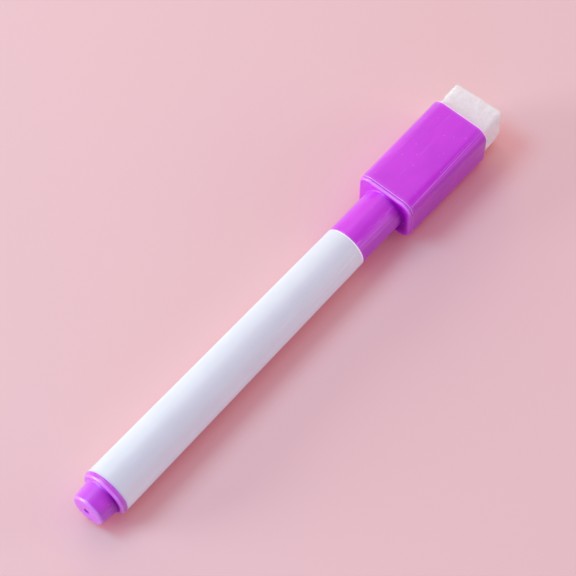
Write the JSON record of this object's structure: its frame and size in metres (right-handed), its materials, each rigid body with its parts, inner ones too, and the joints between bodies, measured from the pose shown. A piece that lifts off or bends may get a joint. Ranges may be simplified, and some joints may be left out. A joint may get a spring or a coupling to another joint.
{
  "type": "capped felt-tip marker with eraser block",
  "caption": "Slim round marker with a stepped tail plug and a pull-off cap whose rounded rectangular block holds a felt eraser and a flat magnet.",
  "frame": {"origin": "on the pen's axis, midway between the tail plug's end and the felt's end", "axes": "+X along the pen from the tail to the felt, +Y across the block's width, +Z out of the block's upper wide face"},
  "size_m": [0.1212, 0.0138, 0.0118],
  "materials": {
    "white_plastic": "smooth, faintly satin moulded polypropylene",
    "coloured_plastic": "magenta violet moulded polypropylene, slightly cloudy, fine rub marks",
    "inked_fibre": "bonded polyester fibre soaked with ink",
    "film": "thin clear wrap film",
    "holder_plastic": "natural white moulded plastic",
    "nib_fibre": "hard bonded fibre, inked",
    "seal_plastic": "soft natural polyethylene",
    "magnet_plating": "plated flat magnet",
    "felt": "pressed wool felt with loose fibres at the edges"
  },
  "bodies": {
    "pen": {"barrel": "white_plastic", "tail_plug": "coloured_plastic", "ink_reservoir": "inked_fibre", "reservoir_wrap": "film", "nib_holder": "holder_plastic", "nib": "nib_fibre"},
    "seal": {"inner_seal": "seal_plastic"},
    "cap": {"cap_sleeve": "coloured_plastic", "eraser_housing": "coloured_plastic", "magnet": "magnet_plating", "felt_eraser": "felt"}
  },
  "joints": [
    {"name": "cap_pull", "type": "slide", "parent": "pen", "child": "seal", "axis": [1, 0, 0], "range_m": [0, 0.04]},
    {"name": "cap_turn", "type": "hinge", "parent": "seal", "child": "cap", "pos_m": [0.023, 0, 0], "axis": [1, 0, 0], "continuous": true}
  ]
}
